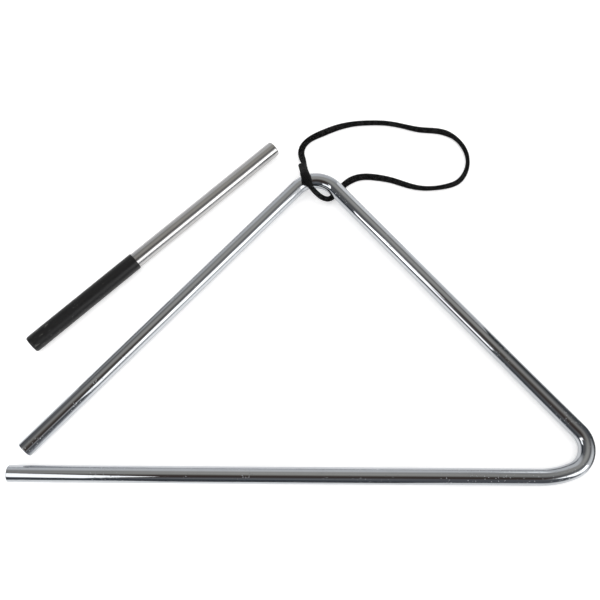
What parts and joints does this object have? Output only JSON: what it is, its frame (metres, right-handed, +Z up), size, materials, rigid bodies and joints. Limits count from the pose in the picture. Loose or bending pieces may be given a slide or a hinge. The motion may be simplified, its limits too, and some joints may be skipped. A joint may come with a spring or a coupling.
{
  "type": "percussion triangle",
  "caption": "Percussion triangle of bent round bar, open at a corner, lying flat with its looped hanging cord, beside a straight metal beater with a plastic grip sleeve.",
  "frame": {"origin": "on the table, under the middle of the rectangle that the bar and the beater cover together, the cord left out", "axes": "+X along the straight base towards the closed corner, +Y from the base towards the bent apex, +Z up from the table"},
  "size_m": [0.2752, 0.1951, 0.0134],
  "materials": {
    "bar_chrome": "mirror chrome plate on round steel bar",
    "cord_braid": "black braided cord",
    "binding_thread": "black waxed thread, wound",
    "rod_nickel": "drawn steel rod, thin bright plating with faint lengthwise draw lines",
    "sleeve_plastic": "satin black heat-shrunk plastic sleeve"
  },
  "bodies": {
    "triangle": {"triangle_bar": "bar_chrome", "hanging_cord": "cord_braid", "cord_binding": "binding_thread"},
    "beater": {"beater_rod": "rod_nickel", "beater_sleeve": "sleeve_plastic"}
  },
  "joints": [
    {"name": "beater_lift", "type": "slide", "parent": "triangle", "child": "beater", "axis": [0, 0, 1], "range_m": [0, 0.12]}
  ]
}
